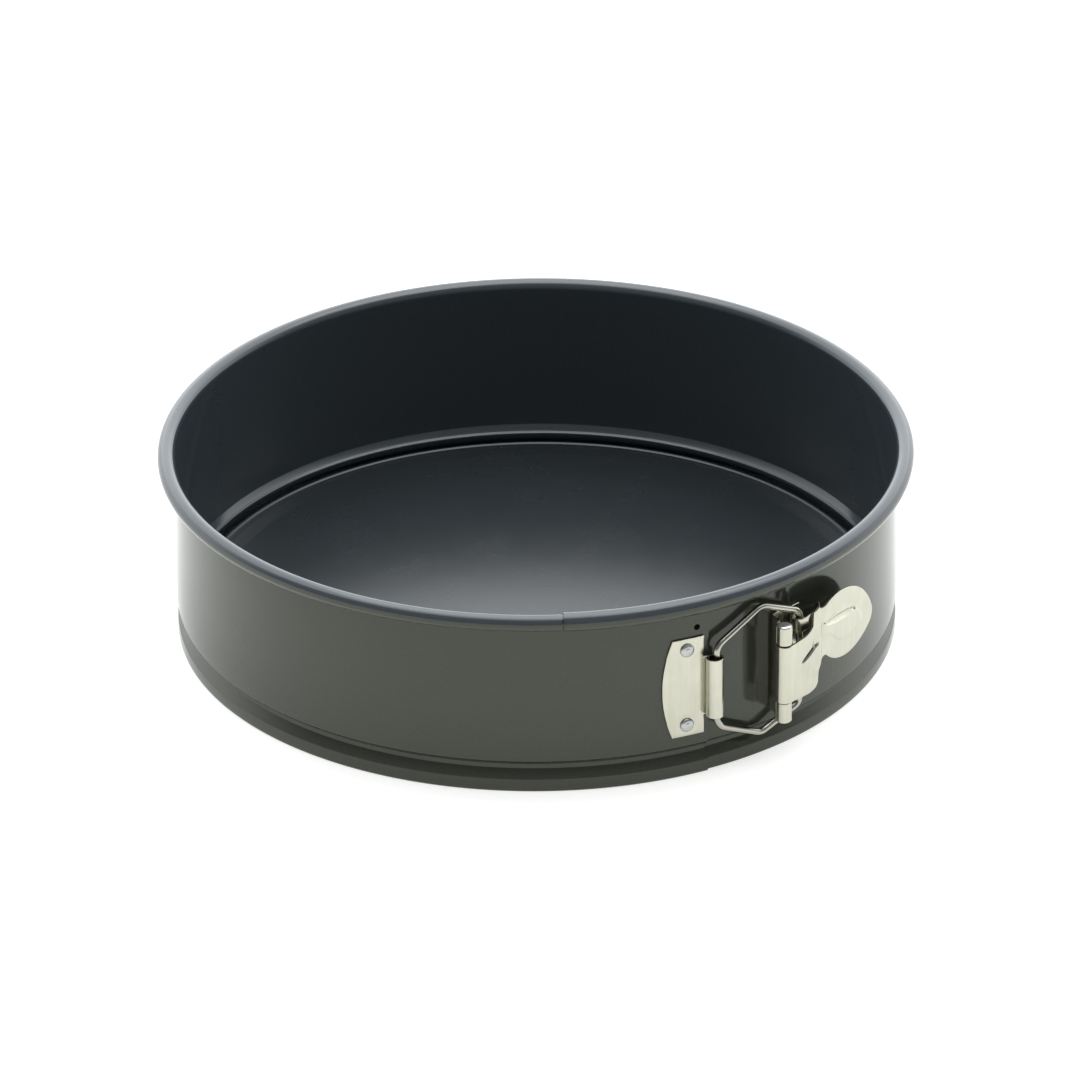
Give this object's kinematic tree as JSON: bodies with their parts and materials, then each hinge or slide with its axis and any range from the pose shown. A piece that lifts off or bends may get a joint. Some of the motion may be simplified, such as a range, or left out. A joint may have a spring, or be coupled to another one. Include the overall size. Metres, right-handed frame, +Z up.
{
  "type": "springform pan",
  "caption": "Round springform cake pan with a sprung side band, a loose pressed base and an over-centre wire-bail latch.",
  "frame": {"origin": "middle of the pan at the surface that it stands on", "axes": "+Z up along the pan's axis; the front of the pan faces -Y, with the latch at the right of the front"},
  "size_m": [0.2732, 0.2737, 0.072],
  "materials": {
    "coated_steel": "dark non-stick coating, semi-gloss",
    "coated_base": "dark non-stick coating, semi-gloss",
    "tinplate": "pale warm tinplate, satin",
    "wire": "bright drawn wire",
    "aluminium": "satin"
  },
  "bodies": {
    "ring": {"band": "coated_steel", "base": "coated_base", "hinge_bracket": "tinplate", "bracket_rivet_upper": "aluminium", "bracket_rivet_lower": "aluminium", "hinge_pin": "aluminium"},
    "lever": {"lever": "tinplate"},
    "strip_end": {"latch_plate": "tinplate", "plate_rivet_upper": "aluminium", "plate_rivet_lower": "aluminium"},
    "bail": {"bail": "wire"}
  },
  "joints": [
    {"name": "lever_hinge", "type": "hinge", "parent": "ring", "child": "lever", "pos_m": [0.08661, -0.11126, 0.036], "axis": [0, 0, -1], "range_deg": [0, 125]},
    {"name": "band_spring", "type": "hinge", "parent": "ring", "child": "strip_end", "pos_m": [0, -0.00045, 0.036], "axis": [0, 0, -1], "range_deg": [0, 2.26], "deforming": ["band"]},
    {"name": "bail_swing", "type": "hinge", "parent": "strip_end", "child": "bail", "pos_m": [0.06272, -0.11882, 0.036], "axis": [0, 0, -1], "range_deg": [0, 35.36]}
  ],
  "couplings": [
    {"joint": "band_spring", "follows": "lever_hinge", "ratio": 0.018},
    {"joint": "bail_swing", "follows": "lever_hinge", "ratio": 0.2828}
  ]
}
